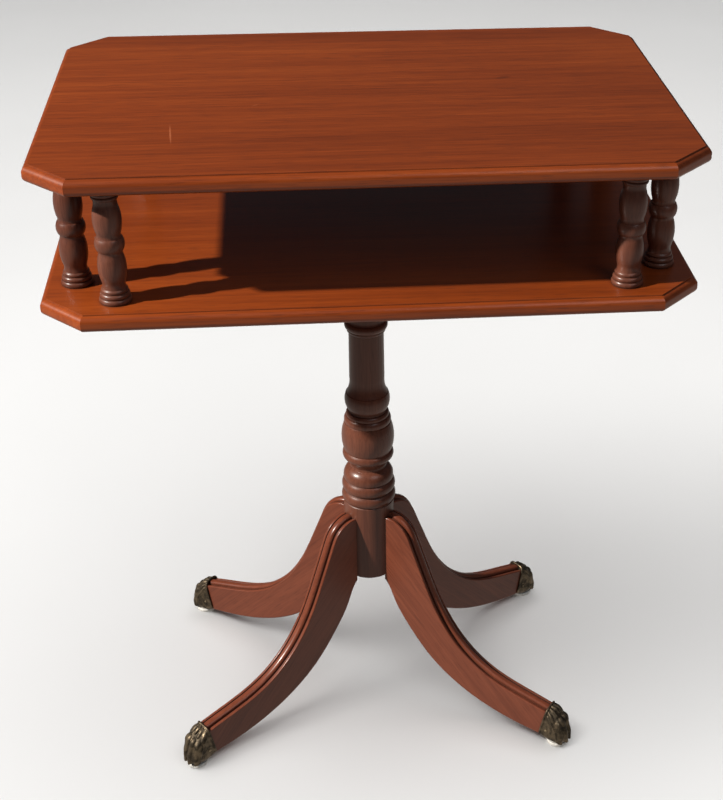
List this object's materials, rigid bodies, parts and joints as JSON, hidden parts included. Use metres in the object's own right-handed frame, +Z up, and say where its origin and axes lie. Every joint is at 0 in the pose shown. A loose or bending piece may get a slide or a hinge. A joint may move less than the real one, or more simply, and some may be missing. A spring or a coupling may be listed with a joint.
{
  "type": "two-tier pedestal side table",
  "caption": "Two-tier pedestal side table: cut-corner top and open book shelf joined by turned spindles, on a turned column with reeded sabre legs in brass paw caps.",
  "frame": {"origin": "on the floor, on the column's axis, midway between the four feet", "axes": "+Z up; +X along the long side of the boards, to the right seen from the front; -Y towards the front"},
  "size_m": [0.61, 0.421, 0.729],
  "materials": {
    "top_wood": "satin lacquer over a red-brown stain, straight mahogany grain",
    "shelf_wood": "satin lacquer over a red-brown stain, straight mahogany grain",
    "turned_wood": "satin lacquer over a red-brown stain, straight mahogany grain",
    "leg_wood": "satin lacquer over a red-brown stain, straight mahogany grain",
    "plain_hardwood": "unfinished, planed",
    "cast_bronze": "aged cast brass, dark patina, rubbed on high spots",
    "pin_brass": "aged brass",
    "glide_nylon": "white nylon",
    "screw_steel": "dull zinc-plated steel"
  },
  "bodies": {
    "root": {"cap_pins": "pin_brass", "cleat_screws": "screw_steel", "column": "turned_wood", "foot_cap_back_left": "cast_bronze", "foot_cap_back_right": "cast_bronze", "foot_cap_front_left": "cast_bronze", "foot_cap_front_right": "cast_bronze", "glide_back_left": "glide_nylon", "glide_back_right": "glide_nylon", "glide_front_left": "glide_nylon", "glide_front_right": "glide_nylon", "leg_back_left": "leg_wood", "leg_back_right": "leg_wood", "leg_dowels": "plain_hardwood", "leg_front_left": "leg_wood", "leg_front_right": "leg_wood", "shelf_board": "shelf_wood", "shelf_cleat": "plain_hardwood", "spindle_back_left_long_side": "turned_wood", "spindle_back_left_short_side": "turned_wood", "spindle_back_right_long_side": "turned_wood", "spindle_back_right_short_side": "turned_wood", "spindle_front_left_long_side": "turned_wood", "spindle_front_left_short_side": "turned_wood", "spindle_front_right_long_side": "turned_wood", "spindle_front_right_short_side": "turned_wood", "tenon_wedge": "plain_hardwood", "top_board": "top_wood"}
  },
  "joints": []
}
